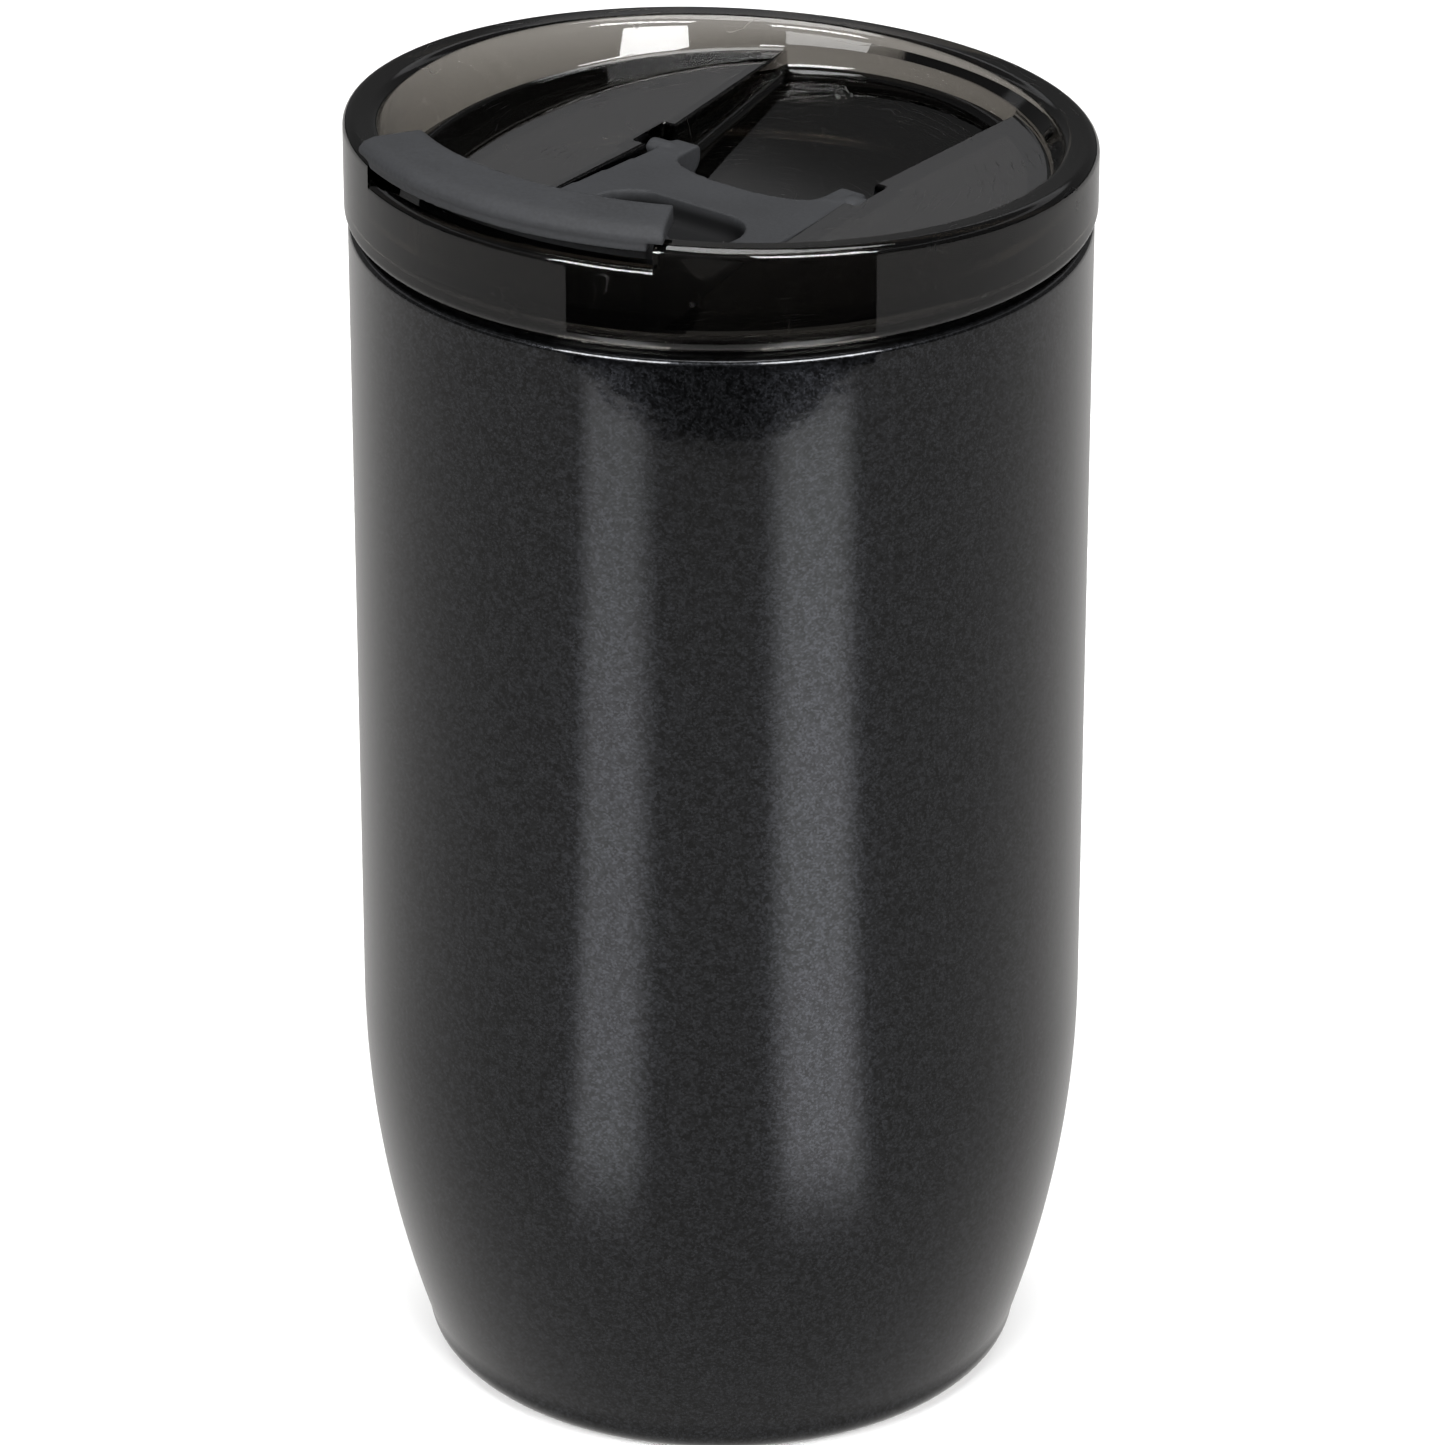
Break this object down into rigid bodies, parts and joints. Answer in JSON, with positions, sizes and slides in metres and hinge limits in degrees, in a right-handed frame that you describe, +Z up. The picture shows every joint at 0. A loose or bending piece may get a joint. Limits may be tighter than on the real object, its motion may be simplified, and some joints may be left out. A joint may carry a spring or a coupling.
{
  "type": "insulated tumbler with flip-top lid",
  "caption": "Double-walled steel tumbler with a clear push-on lid, a slanted rim and a hinged lever that closes the spout.",
  "frame": {"origin": "centre of the foot, on the surface it stands on", "axes": "+Z up along the tumbler's axis, spout and lever tab towards -Y, lever hinge along X"},
  "size_m": [0.087, 0.0877, 0.1618],
  "materials": {
    "black_powder_coat": "fine metallic-flecked powder coat, satin",
    "liner_steel": "electropolished",
    "base_steel": "brushed",
    "seal_glass": "fused glass bead",
    "getter_alloy": "sintered",
    "smoke_clear_plastic": "clear smoke tint, polished",
    "lever_plastic": "fine matte moulding texture",
    "gasket_silicone": "satin",
    "stopper_silicone": "satin"
  },
  "bodies": {
    "cup": {"outer_shell": "black_powder_coat", "inner_liner": "liner_steel", "base_disc": "base_steel", "seal_bead": "seal_glass", "getter": "getter_alloy"},
    "lid": {"lid_body": "smoke_clear_plastic", "lid_gasket": "gasket_silicone"},
    "lever": {"flip_lever": "lever_plastic", "spout_stopper": "stopper_silicone", "vent_stopper": "stopper_silicone"}
  },
  "joints": [
    {"name": "lid_lift", "type": "slide", "parent": "cup", "child": "lid", "axis": [0, 0, 1], "range_m": [0, 0.03]},
    {"name": "lever_hinge", "type": "hinge", "parent": "lid", "child": "lever", "pos_m": [0, 0.0071, 0.1474], "axis": [-1, 0, 0], "range_deg": [0, 135]}
  ]
}
